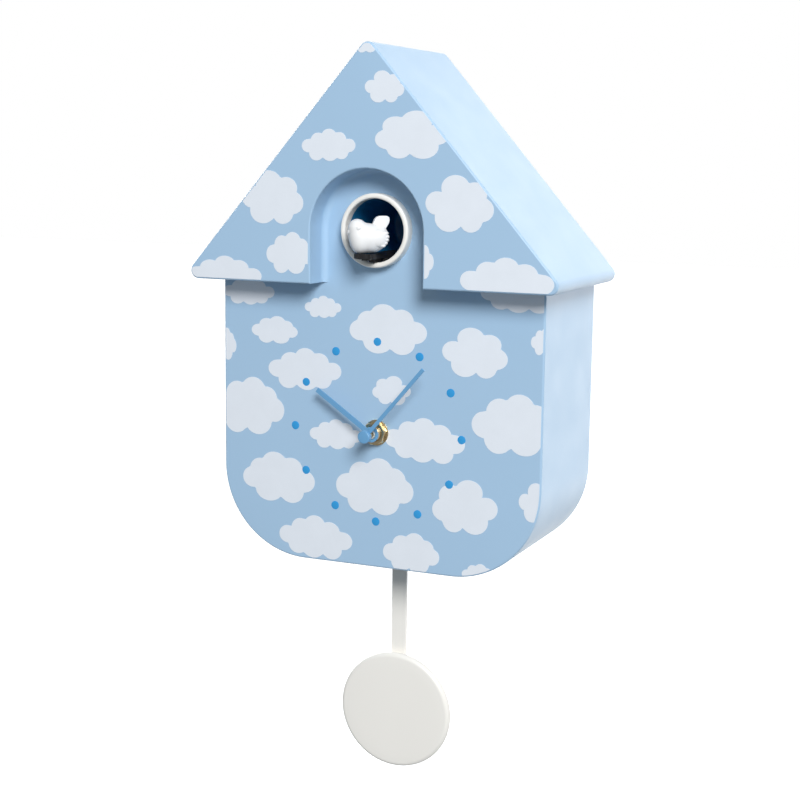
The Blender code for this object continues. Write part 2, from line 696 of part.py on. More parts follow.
def make_pendulum():
    bracket = block("pendulum_bracket", (-10, 10), (20.4, 21.8), (-196, -152), BLACK)
    cut(bracket, rod("pin_hole", 0, PIVOT_Z, PIN_HOLE, 18, 23, sides=16))
    pin = rod("pendulum_pin", 0, PIVOT_Z, PIN_R, 20.6, 34, STEEL, 16)
    join(pin, rod("head", 0, PIVOT_Z, 2.6, 32.5, 34.5, sides=16))
    washer("pendulum_coil", 0, COIL_Z, 6, 2.4, 22.1, 24.6, COPPER, 28)

    hub = rod("pendulum_hanger", 0, PIVOT_Z, 4.2, 26.8, 31.4, BLACK)
    join(
        hub,
        block("arm", (-2.6, 2.6), (26.9, 31.3), (COIL_Z - 4, PIVOT_Z)),
        rod("peg", 0, PEG_Z, PEG_R, 31, 34.8, sides=16),
    )
    cut(hub, rod("bore", 0, PIVOT_Z, PIN_HOLE, 23, 35, sides=16))
    magnet = rod("pendulum_magnet", 0, COIL_Z, 3.5, 25, 26.5, STEEL)

    top = PEG_Z + 6
    strip = [(-ROD_HALF, top, 3), (-ROD_HALF, BOB_Z, 0), (ROD_HALF, BOB_Z, 0), (ROD_HALF, top, 3)]
    bar = prism("pendulum_rod", rounded(strip), 32, 34, CREAM)
    cut(bar, rod("eye", 0, PEG_Z, EYE_R, 28, 38, sides=16))
    edge = ((2.2, 0), (0.7, 0.6), (0, 2.1))  # how the rim is rounded: inset from radius and face
    front = [(BOB_R - inset, BOB_FRONT + depth) for inset, depth in edge]
    back = [(BOB_R - inset, BOB_BACK - depth) for inset, depth in reversed(edge)]
    profile = [(0, BOB_FRONT), *front, *back, (0, BOB_BACK)]
    bob = turned("pendulum_bob", profile, 0, BOB_Z, CREAM, 44)
    pivot("pendulum_axis", 0, PIVOT_Y, PIVOT_Z, hub, magnet, bar, bob)


def make_power():
    x, z = (TRAY_LEFT, TRAY_RIGHT), (TRAY_LOW, TRAY_HIGH)
    tray = block("battery_tray", x, (TRAY_FRONT, -COVER - GAP), z, BLACK)
    well_x, well_z = ((low + TRAY_WALL, high - TRAY_WALL) for low, high in (x, z))
    cut(tray, block("well", well_x, (TRAY_FRONT + TRAY_WALL, 0), well_z))
    middle = (x[0] + x[1]) / 2
    lid = block("battery_lid", (x[0] + 1, x[1] - 1), (-COVER, -0.2), (z[0] + 1, z[1] - 1), PALE)
    cut(lid, rod("finger_notch", middle, z[1] - 1, 4, -0.9, 1, sides=20))
    pivot("lid_axis", middle, 0, (z[0] + z[1]) / 2, lid)
    strip_x = (x[0] + 2.5, x[1] - 2.5)
    strip_y = (-17, -5)
    bottom = block("contact_strip_bottom", strip_x, strip_y, (z[0] + 1.5, z[0] + 2.2), STEEL)
    block("contact_strip_top", strip_x, strip_y, (z[1] - 2.2, z[1] - 1.5), STEEL)
    low = TRAY_LOW + 6.9
    high = low + BATTERY_LENGTH
    for number in range(3):
        place = (middle + (number - 1) * BATTERY_PITCH, BATTERY_Y)
        cell = rod(f"battery_{number + 1}", *place, BATTERY_R, low, high - 1.2, JACKET, 24, "Z")
        join(cell, rod("cap", *place, CAP_NUB_R, high - 10, high, sides=12, axis="Z"))
        join(bottom, rod("spring", *place, SPRING_R, z[0] + 1.8, low - GAP, sides=14, axis="Z"))


def make_sound():
    x, z = BOARD_X, BOARD_Z
    board_x = (x - BOARD_HALF, x + BOARD_HALF)
    block("sound_board", board_x, (-22.0, -20.4), (z - 25, z + 25), GREEN)
    block("sound_chip", (x - 5, x + 5), (-24.5, -22.3), (z + 10, z + 20), BLACK)
    switch = block("mode_switch", (x - 7, x + 7), (-20.1, -8), (z - 3.5, z + 3.5), BLACK)
    cut(switch, block("track", (x - 5, x + 5), (-12, 0), (z - 1.3, z + 1.3)))
    slider = block("mode_slider", (x - 4, x - 1), (-11, -0.8), (z - 1, z + 1), WHITE)
    pivot("mode_axis", x - 2.5, -8, z, slider)

    x, z = SPEAKER_X, SPEAKER_Z
    face = -COVER - GAP
    rim = [(SPEAKER_R, face), (SPEAKER_R, face - 1.4), (18.4, face - 1.6)]
    basket = [(10.5, -12.5), (8.5, -12.5), (8.5, -11.5), (17.2, face)]
    turned("speaker_frame", rim + basket, x, z, STEEL, 28)
    cone_edge = [(14.6, face - 0.8), (15.2, face - 0.8)]
    cone = [(0, -7.6), (5, -8.6), *cone_edge, (5.2, -9.4), (0, -8.4)]
    turned("speaker_cone", cone, x, z, PAPER, 28)
    rod("speaker_magnet", x, z, 9.5, -18.5, -12.8, STEEL, 28)


make_housing()
make_rear_cover()
make_power()
make_sound()
placed_from_wall = set(bpy.data.objects)
make_window()
make_bird()
make_movement()
make_pendulum()
for part in set(bpy.data.objects) - placed_from_wall:
    if part.parent is None:
        part.location.y -= BODY_DEPTH * MM
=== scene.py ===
"""Looks of the house-shaped bird clock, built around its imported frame. Named lengths are in mm."""

import json
import math

import bmesh
import bpy
from mathutils import Matrix, Vector


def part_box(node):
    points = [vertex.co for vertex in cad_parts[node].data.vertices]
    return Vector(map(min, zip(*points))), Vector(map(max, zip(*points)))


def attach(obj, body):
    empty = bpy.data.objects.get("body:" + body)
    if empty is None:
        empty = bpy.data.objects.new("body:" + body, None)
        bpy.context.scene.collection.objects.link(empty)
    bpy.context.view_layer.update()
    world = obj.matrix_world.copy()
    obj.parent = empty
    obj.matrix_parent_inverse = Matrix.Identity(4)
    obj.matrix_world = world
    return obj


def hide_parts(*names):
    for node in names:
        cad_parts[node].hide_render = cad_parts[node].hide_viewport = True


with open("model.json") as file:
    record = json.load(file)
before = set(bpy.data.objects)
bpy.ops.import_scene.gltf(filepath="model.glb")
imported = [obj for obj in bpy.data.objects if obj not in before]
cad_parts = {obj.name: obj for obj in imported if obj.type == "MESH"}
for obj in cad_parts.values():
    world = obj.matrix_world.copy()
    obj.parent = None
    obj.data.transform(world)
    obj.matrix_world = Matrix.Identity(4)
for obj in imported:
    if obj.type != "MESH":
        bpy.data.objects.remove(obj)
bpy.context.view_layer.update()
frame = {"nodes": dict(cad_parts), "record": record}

MM = 0.001

# The housing's driving dimensions, as in the CAD model, in mm
ROOF_APEX, EAVE, ROOF_HALF, ROOF_CORNER = 60.0, -67.0, 110.5, 4.5
BODY_HALF, BODY_CORNER = 93.5, 50.0
WALL, GAP = 2.5, 0.3
FRONT_FILLET = 1.1  # the rounded front edges of roof and body
BACK_FILLET = 0.7
NICHE_R = 32.3
NICHE_EDGE = 0.9
NICHE_COVE = 3.5  # the soft corner between the niche's sides and its back
NICHE_LOW = EAVE - 6  # below the eaves, so that the niche is open downwards
TUNNEL_WALL = 1.25
SPINDLE_HOLE = 4.2
PENDULUM_SLOT = ((-15, 15), (-60, -46))  # the opening under the body, across and in depth
DOT_CIRCLE, DOT_R = 49.0, 2.3
PRINT = 0.08  # how far the printed layer stands off the plastic
PRINT_ROOT = 0.3  # and how far it reaches in
RIBS = 36  # round the knob and round the bird's base


def mm_box(node):
    low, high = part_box(node)
    return low / MM, high / MM


housing_low = mm_box("front_housing")[0]
ROOF_FRONT = housing_low.y
BODY_BOTTOM = housing_low.z
ring_low, ring_high = mm_box("window_ring")
WINDOW_Z = (ring_low.z + ring_high.z) / 2
RING_R = (ring_high.z - ring_low.z) / 2
tunnel_low, tunnel_high = mm_box("window_tunnel")
TUNNEL_R = (tunnel_high.x - tunnel_low.x) / 2
TUNNEL_BORE = TUNNEL_R - TUNNEL_WALL
nut_low, nut_high = mm_box("hex_nut")
washer_low, washer_high = mm_box("brass_washer")
DIAL_Z = (washer_low.z + washer_high.z) / 2
BODY_FRONT = washer_high.y - GAP
bob_low, bob_high = mm_box("pendulum_bob")
BOB_Z = (bob_low.z + bob_high.z) / 2
BOB_R = (bob_high.x - bob_low.x) / 2

# ---------------------------------------------------------------- materials


def node_tree(name):
    made = bpy.data.materials.new(name)
    made.use_nodes = True
    tree = made.node_tree
    return made, tree, tree.nodes["Principled BSDF"]


def noise(tree, scale, detail=3.0, roughness=0.5, stretch=None, distortion=0.0):
    """Noise in the object's own metres; stretch squeezes it along an axis."""
    place = tree.nodes.new("ShaderNodeTexCoord")
    made = tree.nodes.new("ShaderNodeTexNoise")
    made.inputs["Scale"].default_value = scale
    made.inputs["Detail"].default_value = detail
    made.inputs["Roughness"].default_value = roughness
    made.inputs["Distortion"].default_value = distortion
    if stretch:
        mapping = tree.nodes.new("ShaderNodeMapping")
        mapping.inputs["Scale"].default_value = stretch
        tree.links.new(place.outputs["Object"], mapping.inputs["Vector"])
        tree.links.new(mapping.outputs["Vector"], made.inputs["Vector"])
    else:
        tree.links.new(place.outputs["Object"], made.inputs["Vector"])
    return made.outputs["Fac"]


def spread(tree, value, low, high, start=0.3, end=0.7):
    made = tree.nodes.new("ShaderNodeMapRange")
    made.inputs["From Min"].default_value = start
    made.inputs["From Max"].default_value = end
    made.inputs["To Min"].default_value = low
    made.inputs["To Max"].default_value = high
    tree.links.new(value, made.inputs["Value"])
    return made.outputs["Result"]


def ramp(tree, value, stops, interpolation="LINEAR"):
    made = tree.nodes.new("ShaderNodeValToRGB")
    made.color_ramp.interpolation = interpolation
    elements = made.color_ramp.elements
    while len(elements) < len(stops):
        elements.new(0.5)
    for element, (place, colour) in zip(elements, stops):
        element.position = place
        element.color = (*colour, 1)
    tree.links.new(value, made.inputs["Fac"])
    return made.outputs["Color"]


def bump(tree, shader, *layers):
    """Chains height layers of (value, strength, distance in metres) into the shader's normal."""
    before = None
    for value, strength, distance in layers:
        made = tree.nodes.new("ShaderNodeBump")
        made.inputs["Strength"].default_value = strength
        made.inputs["Distance"].default_value = distance
        tree.links.new(value, made.inputs["Height"])
        if before:
            tree.links.new(before, made.inputs["Normal"])
        before = made.outputs["Normal"]
    tree.links.new(before, shader.inputs["Normal"])


def scaled(colour, factor):
    return tuple(min(1.0, c * factor) for c in colour)


def moulded(name, colour, roughness, grain=1400.0, depth=0.00002, uneven=0.03, coat=0.0):
    """Moulded plastic: slow flow marks, a fine eroded grain and uneven gloss."""
    made, tree, shader = node_tree(name)
    flow = noise(tree, 14.0, 2.0, 0.5, (1, 1, 0.55), 0.6)
    tone = ramp(tree, flow, [(0.3, scaled(colour, 1 - uneven)), (0.7, scaled(colour, 1 + uneven))])
    tree.links.new(tone, shader.inputs["Base Color"])
    gloss = spread(tree, noise(tree, 60.0, 3.0), roughness - 0.03, roughness + 0.04)
    tree.links.new(gloss, shader.inputs["Roughness"])
    shader.inputs["IOR"].default_value = 1.49
    shader.inputs["Coat Weight"].default_value = coat
    shader.inputs["Coat Roughness"].default_value = 0.25
    bump(
        tree,
        shader,
        (noise(tree, 24.0, 1.0), 0.05, 0.0004),
        (noise(tree, grain, 2.0, 0.6), 0.35, depth),
    )
    return made


def printed(name, colour, roughness):
    """Screen-printed ink: very fine mesh texture and a slightly mottled film."""
    made, tree, shader = node_tree(name)
    film = noise(tree, 90.0, 4.0, 0.6)
    tone = ramp(tree, film, [(0.3, scaled(colour, 0.985)), (0.7, scaled(colour, 1.01))])
    tree.links.new(tone, shader.inputs["Base Color"])
    gloss = spread(tree, film, roughness - 0.04, roughness + 0.06)
    tree.links.new(gloss, shader.inputs["Roughness"])
    bump(tree, shader, (noise(tree, 3200.0, 1.0), 0.25, 0.00001))
    return made


def metal(name, colour, roughness, lines):
    """Turned or plated metal: fine tool lines, smudges and a trace of tarnish."""
    made, tree, shader = node_tree(name)
    shader.inputs["Metallic"].default_value = 1.0
    smudge = noise(tree, 260.0, 4.0, 0.6)
    tone = ramp(tree, smudge, [(0.35, colour), (0.75, scaled(colour, 0.88))])
    tree.links.new(tone, shader.inputs["Base Color"])
    streak = noise(tree, 900.0, 2.0, 0.5, lines)
    gloss = spread(tree, streak, roughness - 0.06, roughness + 0.1)
    tree.links.new(gloss, shader.inputs["Roughness"])
    bump(tree, shader, (streak, 0.25, 0.00002))
    return made


def wound(name, colour):
    """Enamelled wire laid turn by turn, its colour darkened in the grooves between the turns as
    painted shade.
    """
    made, tree, shader = node_tree(name)
    place = tree.nodes.new("ShaderNodeTexCoord")
    wave = tree.nodes.new("ShaderNodeTexWave")
    wave.bands_direction = "X"
    wave.inputs["Scale"].default_value = 900.0
    wave.inputs["Distortion"].default_value = 0.4
    tree.links.new(place.outputs["Object"], wave.inputs["Vector"])
    # painted shade: the wire's colour falls to 0.35 of itself in the grooves between the turns,
    # where the bump lowers the surface
    tone = ramp(tree, wave.outputs["Fac"], [(0.0, scaled(colour, 0.35)), (0.6, colour)])
    tree.links.new(tone, shader.inputs["Base Color"])
    shader.inputs["Metallic"].default_value = 0.8
    shader.inputs["Roughness"].default_value = 0.32
    bump(tree, shader, (wave.outputs["Fac"], 0.6, 0.00008))
    return made


def board(name, mask, trace):
    """Solder mask over copper tracks."""
    made, tree, shader = node_tree(name)
    place = tree.nodes.new("ShaderNodeTexCoord")
    brick = tree.nodes.new("ShaderNodeTexBrick")
    brick.inputs["Scale"].default_value = 120.0
    brick.inputs["Mortar Size"].default_value = 0.06
    brick.inputs["Color1"].default_value = (*mask, 1)
    brick.inputs["Color2"].default_value = (*scaled(mask, 0.8), 1)
    brick.inputs["Mortar"].default_value = (*trace, 1)
    mapping = tree.nodes.new("ShaderNodeMapping")
    mapping.inputs["Rotation"].default_value = (math.radians(90), 0, 0)
    tree.links.new(place.outputs["Object"], mapping.inputs["Vector"])
    tree.links.new(mapping.outputs["Vector"], brick.inputs["Vector"])
    tree.links.new(brick.outputs["Color"], shader.inputs["Base Color"])
    shader.inputs["Coat Weight"].default_value = 0.5
    tree.links.new(spread(tree, noise(tree, 300.0), 0.3, 0.5), shader.inputs["Roughness"])
    bump(tree, shader, (brick.outputs["Fac"], 0.4, 0.00005))
    return made


def banded(name, lower, upper, border, low_z, high_z):
    """A cell's printed sleeve, with one plain band at its upper end."""
    made, tree, shader = node_tree(name)
    place = tree.nodes.new("ShaderNodeTexCoord")
    split = tree.nodes.new("ShaderNodeSeparateXYZ")
    tree.links.new(place.outputs["Object"], split.inputs["Vector"])
    height = spread(tree, split.outputs["Z"], 0, 1, low_z * MM, high_z * MM)
    stops = [(0.0, lower), (0.66, lower), (0.67, border), (0.69, upper), (1.0, upper)]
    tree.links.new(ramp(tree, height, stops, "CONSTANT"), shader.inputs["Base Color"])
    shader.inputs["Coat Weight"].default_value = 0.6
    tree.links.new(spread(tree, noise(tree, 200.0), 0.22, 0.34), shader.inputs["Roughness"])
    bump(tree, shader, (noise(tree, 500.0, 1.0), 0.2, 0.00003))
    return made


SKY = moulded("sky_blue_abs", (0.39, 0.57, 0.76), 0.42, uneven=0.012, coat=0.06)
PALE = moulded("pale_blue_abs", (0.47, 0.65, 0.82), 0.48, grain=900.0, depth=0.00004, uneven=0.015)
CLOUD = printed("cloud_white_ink", (0.79, 0.835, 0.90), 0.5)
DOT = printed("hour_dot_ink", (0.034, 0.33, 0.71), 0.4)
NAVY = moulded("navy_liner", (0.012, 0.21, 0.46), 0.3, uneven=0.06, coat=0.3)
CREAM = moulded("warm_white_abs", (0.93, 0.90, 0.845), 0.38, uneven=0.01, coat=0.08)
WHITE = moulded("bird_white_abs", (0.88, 0.88, 0.88), 0.4, uneven=0.01, coat=0.1)
BLACK = moulded("black_abs", (0.012, 0.012, 0.014), 0.4, grain=1100.0, depth=0.00004, uneven=0.12)
HAND_BLUE = moulded("hand_blue_enamel", (0.145, 0.36, 0.61), 0.36, uneven=0.01, coat=0.2)
BRASS = metal("turned_brass", (0.80, 0.65, 0.40), 0.26, (0.15, 1, 0.15))
STEEL = metal("plated_steel", (0.47, 0.48, 0.50), 0.3, (1, 0.1, 1))
COPPER = wound("copper_winding", (0.72, 0.34, 0.14))
ACETAL = moulded("natural_acetal", (0.80, 0.81, 0.76), 0.45, uneven=0.03)
BOARD = board("circuit_board", (0.015, 0.16, 0.07), (0.05, 0.27, 0.10))
RUBBER = moulded("black_rubber", (0.02, 0.02, 0.02), 0.8, grain=700.0, depth=0.00006)
PAPER = moulded("cone_paper", (0.05, 0.048, 0.045), 0.85, grain=500.0, depth=0.0001, uneven=0.15)

# ---------------------------------------------------------------- mesh tools


def to_object(name, bm, surface=None, smooth_angle=None):
    mesh = bpy.data.meshes.new(name)
    bmesh.ops.recalc_face_normals(bm, faces=bm.faces)
    bm.to_mesh(mesh)
    bm.free()
    obj = bpy.data.objects.new(name, mesh)
    bpy.context.scene.collection.objects.link(obj)
    if surface:
        mesh.materials.append(surface)
    if smooth_angle:
        soften(obj, smooth_angle)
    return obj


def soften(obj, angle=30.0):
    obj.data.shade_smooth()
    obj.data.set_sharp_from_angle(angle=math.radians(angle))


def applied(obj):
    """Bakes the object's modifiers into its mesh."""
    bpy.context.view_layer.update()
    graph = bpy.context.evaluated_depsgraph_get()
    mesh = bpy.data.meshes.new_from_object(obj.evaluated_get(graph))
    obj.modifiers.clear()
    old = obj.data
    obj.data = mesh
    bpy.data.meshes.remove(old)
    mesh.name = obj.name
    return obj


def combine(obj, others, operation):
    surfaces = list(obj.data.materials)
    for other in others:
        boolean = obj.modifiers.new("Boolean", "BOOLEAN")
        boolean.operation = operation
        boolean.solver = "EXACT"
        boolean.object = other
        applied(obj)
        bpy.data.objects.remove(other)
    obj.data.materials.clear()
    for surface in surfaces:
        obj.data.materials.append(surface)
    return obj


def cut(obj, *others):
    return combine(obj, others, "DIFFERENCE")


def join(obj, *others):
    return combine(obj, others, "UNION")


def weighted(obj, angle=32.0):
    """Smooth shading whose flats stay flat beside their fillets."""
    soften(obj, angle)
    modifier = obj.modifiers.new("WeightedNormal", "WEIGHTED_NORMAL")
    modifier.keep_sharp = True
    modifier.weight = 100
    return applied(obj)


def bevelled(obj, width, segments=2, angle=40.0):
    modifier = obj.modifiers.new("Bevel", "BEVEL")
    modifier.width = width * MM
    modifier.segments = segments
    modifier.limit_method = "ANGLE"
    modifier.angle_limit = math.radians(angle)
    modifier.harden_normals = False
    return applied(obj)


def loft(name, rings, surface=None, smooth_angle=None):
    """A closed solid through rings of equally many (x, y, z) points in mm."""
    bm = bmesh.new()
    made = [[bm.verts.new(Vector(p) * MM) for p in ring] for ring in rings]
    for first, second in zip(made, made[1:]):
        for i in range(len(first)):
            j = (i + 1) % len(first)
            bm.faces.new((first[i], first[j], second[j], second[i]))
    bm.faces.new(made[0])
    bm.faces.new(made[-1])
    return to_object(name, bm, surface, smooth_angle)


def along_y(outline, y):
    return [(u, y, v) for u, v in outline]


def prism(name, outline, low, high, surface=None):
    return loft(name, [along_y(outline, low), along_y(outline, high)], surface)


def rectangle(x, z):
    return [(x[0], z[0]), (x[1], z[0]), (x[1], z[1]), (x[0], z[1])]


def block(name, x, y, z, surface=None):
    return prism(name, rectangle(x, z), y[0], y[1], surface)


def circle(u, v, radius, sides=48, phase=0.0):
    turn = 2 * math.pi / sides
    return [
        (u + radius * math.cos(phase + turn * i), v + radius * math.sin(phase + turn * i))
        for i in range(sides)
    ]


def rod(name, x, z, radius, low, high, sides=48):
    return prism(name, circle(x, z, radius, sides), low, high)


def rounded(corners, steps=8):
    """The outline through (u, v, radius) corners, each turned as an arc."""
    points = []
    for i, (u, v, radius) in enumerate(corners):
        here = Vector((u, v))
        before = (Vector(corners[i - 1][:2]) - here).normalized()
        after = (Vector(corners[(i + 1) % len(corners)][:2]) - here).normalized()
        if radius <= 0:
            points.append((u, v))
            continue
        half = before.angle(after) / 2
        centre = here + (before + after).normalized() * (radius / math.sin(half))
        start = here + before * (radius / math.tan(half)) - centre
        sweep = start.angle_signed(here + after * (radius / math.tan(half)) - centre)
        for step in range(steps + 1):
            arm = start.copy()
            arm.rotate(Matrix.Rotation(-sweep * step / steps, 2))
            points.append(tuple(centre + arm))
    return points


def box_outline(x, z, radius):
    return rounded([(u, v, radius) for u, v in rectangle(x, z)], 6)


def knurled(u, v, inner, outer):
    """A circle's outline with ribs all round."""
    points = []
    for i in range(RIBS * 4):
        angle = 2 * math.pi * i / (RIBS * 4)
        r = inner if i % 4 < 2 else outer
        points.append((u + r * math.cos(angle), v + r * math.sin(angle)))
    return points


def grown(span, margin):
    """A (low, high) span with a margin at either end."""
    return span[0] - margin, span[1] + margin


def close_round(bm, rings):
    """Faces between closed sections that follow each other all round."""
    for i, first in enumerate(rings):
        second = rings[(i + 1) % len(rings)]
        for j in range(len(first)):
            k = (j + 1) % len(first)
            bm.faces.new((first[j], first[k], second[k], second[j]))


def turned(name, profile, x, z, surface=None, sides=96):
    """A closed (radius, y) profile turned about the line through x, z along Y."""
    bm = bmesh.new()
    rings = []
    for i in range(sides):
        angle = 2 * math.pi * i / sides
        place = [(x + r * math.cos(angle), y, z + r * math.sin(angle)) for r, y in profile]
        rings.append([bm.verts.new(Vector(p) * MM) for p in place])
    close_round(bm, rings)
    bmesh.ops.remove_doubles(bm, verts=bm.verts, dist=1e-6)
    return to_object(name, bm, surface, 32)


def arc(u, v, radius, start, end, steps=6):
    """Points of a (u, v) arc between two angles in degrees."""
    points = []
    for step in range(steps + 1):
        angle = math.radians(start + (end - start) * step / steps)
        points.append((u + radius * math.cos(angle), v + radius * math.sin(angle)))
    return points


def middle_of(low, high):
    """The middle of a box seen from the front: its x and z."""
    return (low.x + high.x) / 2, (low.z + high.z) / 2


def ride(obj, body, slot, *nodes):
    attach(obj, body)
    if nodes:
        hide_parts(*nodes)
    return obj


# ---------------------------------------------------------------- housing


def roof_outline(inset):
    slope = math.atan2(ROOF_APEX - EAVE, ROOF_HALF)
    low = EAVE + inset
    apex = ROOF_APEX - inset / math.cos(slope)
    half = (apex - low) / math.tan(slope)
    corner = max(ROOF_CORNER - inset, 0.8)
    return rounded([(-half, low, corner), (half, low, corner), (0, apex, corner)], 12)


def body_outline(inset):
    half = BODY_HALF - inset
    corner = BODY_CORNER - inset
    low, top = BODY_BOTTOM + inset, EAVE + 12
    corners = [(-half, low, corner), (half, low, corner), (half, top, 0), (-half, top, 0)]
    return rounded(corners, 24)


def arch_outline(radius):
    return arc(0, WINDOW_Z, radius, 0, 180, 48) + [(-radius, NICHE_LOW), (radius, NICHE_LOW)]


def quarter(radius, steps):
    """A rounded edge as (inset, depth) pairs, from its face to its side."""
    for step in range(steps + 1):
        angle = math.radians(90 * step / steps)
        yield radius * (1 - math.sin(angle)), radius * (1 - math.cos(angle))


def cushion_rings(outline, front):
    """Rings from a front face to the wall, with rounded edges; outline takes an inset."""
    rings = [along_y(outline(inset), front + depth) for inset, depth in quarter(FRONT_FILLET, 7)]
    rings += [along_y(outline(inset), -depth) for depth, inset in quarter(BACK_FILLET, 3)]
    return rings


def niche_cutter():
    """The arched niche: rounded outer edge, straight sides and a soft corner at its back."""
    rings = [along_y(arch_outline(NICHE_R + NICHE_EDGE), ROOF_FRONT - 4)]
    for flare, depth in quarter(NICHE_EDGE, 4):
        rings.append(along_y(arch_outline(NICHE_R + flare), ROOF_FRONT + depth))
    for height, inset in quarter(NICHE_COVE, 8):
        rings.append(along_y(arch_outline(NICHE_R - inset), BODY_FRONT - height))
    return loft("niche", rings)


def make_housing():
    shell = loft("housing_shell", cushion_rings(roof_outline, ROOF_FRONT), SKY)
    join(shell, loft("body", cushion_rings(body_outline, BODY_FRONT)))
    inside = prism("inside", roof_outline(WALL), ROOF_FRONT + WALL, 5)
    niche = arch_outline(NICHE_R + WALL)
    cut(inside, prism("niche_wall", niche, ROOF_FRONT - 5, BODY_FRONT + WALL))
    join(inside, prism("inside_body", body_outline(WALL), BODY_FRONT + WALL, 4))
    cut(shell, niche_cutter(), inside)
    slot = box_outline(*PENDULUM_SLOT, 3)
    slot_rings = [[(u, v, z) for u, v in slot] for z in (BODY_BOTTOM - 3, BODY_BOTTOM + 6)]
    through = (BODY_FRONT - 6, BODY_FRONT + 6)
    cut(
        shell,
        rod("window", 0, WINDOW_Z, TUNNEL_R + GAP, *through, sides=96),
        rod("spindle", 0, DIAL_Z, SPINDLE_HOLE, *through),
        loft("pendulum_slot", slot_rings),
    )
    ride(weighted(shell, 28), "root", "sky_plastic", "front_housing")


# Each cloud's outline is the union of round lobes: (x, z, width, height) shares of its half size.
CLOUD_SHAPES = {
    "puff": (
        (-0.70, -0.08, 0.30, 0.44),
        (-0.34, 0.36, 0.32, 0.46),
        (0.12, 0.55, 0.34, 0.45),
        (0.50, 0.26, 0.30, 0.44),
        (0.72, -0.10, 0.28, 0.42),
        (-0.36, -0.50, 0.34, 0.50),
        (0.26, -0.52, 0.38, 0.48),
    ),
    "wide": (
        (-0.74, -0.06, 0.26, 0.42),
        (-0.38, 0.30, 0.28, 0.46),
        (0.02, 0.56, 0.28, 0.44),
        (0.40, 0.34, 0.26, 0.46),
        (0.76, -0.02, 0.24, 0.42),
        (-0.44, -0.52, 0.28, 0.46),
        (0.06, -0.54, 0.30, 0.46),
        (0.48, -0.44, 0.26, 0.44),
    ),
    "high": (
        (-0.66, 0.00, 0.34, 0.42),
        (-0.12, 0.54, 0.42, 0.46),
        (0.44, 0.34, 0.36, 0.42),
        (0.66, -0.20, 0.34, 0.42),
        (-0.30, -0.50, 0.42, 0.50),
        (0.34, -0.56, 0.34, 0.44),
    ),
}

# Clouds on the roof's face and on the body's face: x, z, width, height, shape, mirrored
ROOF_CLOUDS = (
    (10, 35, 22, 16, "high", 1),
    (-21.5, 5.5, 31, 16.5, "wide", 1),
    (25.5, 11, 41, 24, "high", -1),
    (-54.5, -22, 37, 28, "high", 1),
    (52, -23, 37, 28.5, "high", 1),
    (-44, -51, 28, 22, "puff", 1),
    (31, -52, 15, 19, "puff", -1),
    (-84, -64, 46, 20, "wide", 1),
    (78, -61, 50, 24, "wide", -1),
    (0, 56, 15, 8, "puff", 1),
)
BODY_CLOUDS = (
    (-78, -74, 32, 15, "wide", 1),
    (80, -68, 44, 20, "wide", -1),
    (-93, -104, 14, 18, "puff", 1),
    (-62, -94.5, 28.5, 15, "puff", 1),
    (-32.5, -80.5, 22, 12, "wide", 1),
    (6, -90.5, 45, 26.5, "puff", -1),
    (55.5, -100, 36.5, 26, "high", 1),
    (93, -92, 14, 14, "puff", 1),
    (-43.5, -115, 44.5, 23, "wide", 1),
    (8.5, -123, 22.5, 15.5, "high", -1),
    (-78, -137.5, 44, 32, "puff", 1),
    (-24.5, -149.5, 31.5, 16.5, "wide", 1),
    (28, -148.5, 46, 24, "wide", -1),
    (78, -136, 47, 32, "puff", 1),
    (-59.5, -176.5, 45, 28, "puff", -1),
    (-1, -176, 46, 31, "puff", 1),
    (51.5, -182, 37, 29, "high", -1),
    (92, -176, 21, 21, "high", 1),
    (-36.5, -208, 45, 24, "wide", -1),
    (21, -210.5, 33, 22, "puff", 1),
    (60, -218, 19, 12, "puff", 1),
)


def cloud_outline(x, z, width, height, shape, mirror):
    """The union of the lobes: how far they reach from the cloud's centre, 96 ways round."""
    outline = []
    for i in range(96):
        angle = 2 * math.pi * i / 96
        across, up = math.cos(angle), math.sin(angle)
        reach = 0.35
        for lobe_x, lobe_z, lobe_w, lobe_h in CLOUD_SHAPES[shape]:
            a = (across / lobe_w) ** 2 + (up / lobe_h) ** 2
            b = -(across * lobe_x / lobe_w**2 + up * lobe_z / lobe_h**2)
            c = (lobe_x / lobe_w) ** 2 + (lobe_z / lobe_h) ** 2 - 1
            inside = b * b - a * c
            if inside > 0:
                reach = max(reach, (-b + math.sqrt(inside)) / a)
        outline.append((x + mirror * reach * across * width / 2, z + reach * up * height / 2))
    return outline


def print_layer(name, outline, face, places, blocked):
    """Cloud-shaped pads on the flat face, cut off at its rounded edge and where blocked is."""
    back = face + PRINT_ROOT
    pads = [prism("cloud", cloud_outline(*place), face - PRINT, back, CLOUD) for place in places]
    layer = join(pads[0], *pads[1:])
    flat = prism("face", outline(FRONT_FILLET * 0.8), face - 3, back + 3)
    combine(layer, [flat], "INTERSECT")
    cut(layer, blocked)
    layer.name = name
    ride(bevelled(layer, 0.05, 2, 50), "root", "white_plastic")
    weighted(layer, 28)


